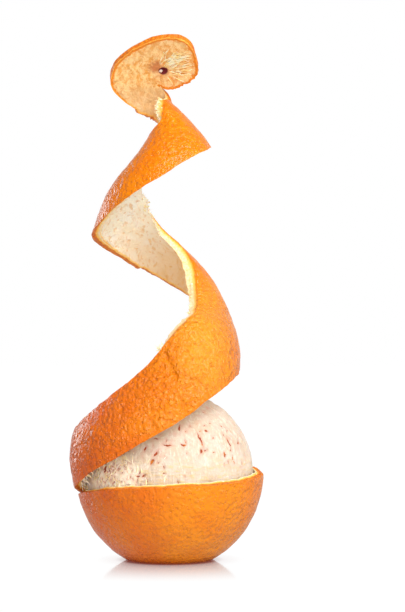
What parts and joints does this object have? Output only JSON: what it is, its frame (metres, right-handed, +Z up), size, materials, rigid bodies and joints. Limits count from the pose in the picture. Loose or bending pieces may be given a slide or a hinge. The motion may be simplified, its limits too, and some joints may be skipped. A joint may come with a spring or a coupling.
{
  "type": "orange peel",
  "caption": "Orange peeled by hand in one long spiral: the peel stands drawn up off the fruit, which still sits in its cup, with the stem-end cap tilted at the top.",
  "frame": {"origin": "middle of the small flat that the orange stands on, on the surface below it", "axes": "+Z up, along the spiral; -Y towards the viewer; +X to the viewer's right"},
  "size_m": [0.0818, 0.0816, 0.2235],
  "materials": {
    "orange_skin": "satin dimpled rind, with cream pith inside and at the cuts",
    "peeled_fruit": "matte pith-covered flesh"
  },
  "bodies": {
    "root": {"peel": "orange_skin", "fruit": "peeled_fruit"}
  },
  "joints": []
}
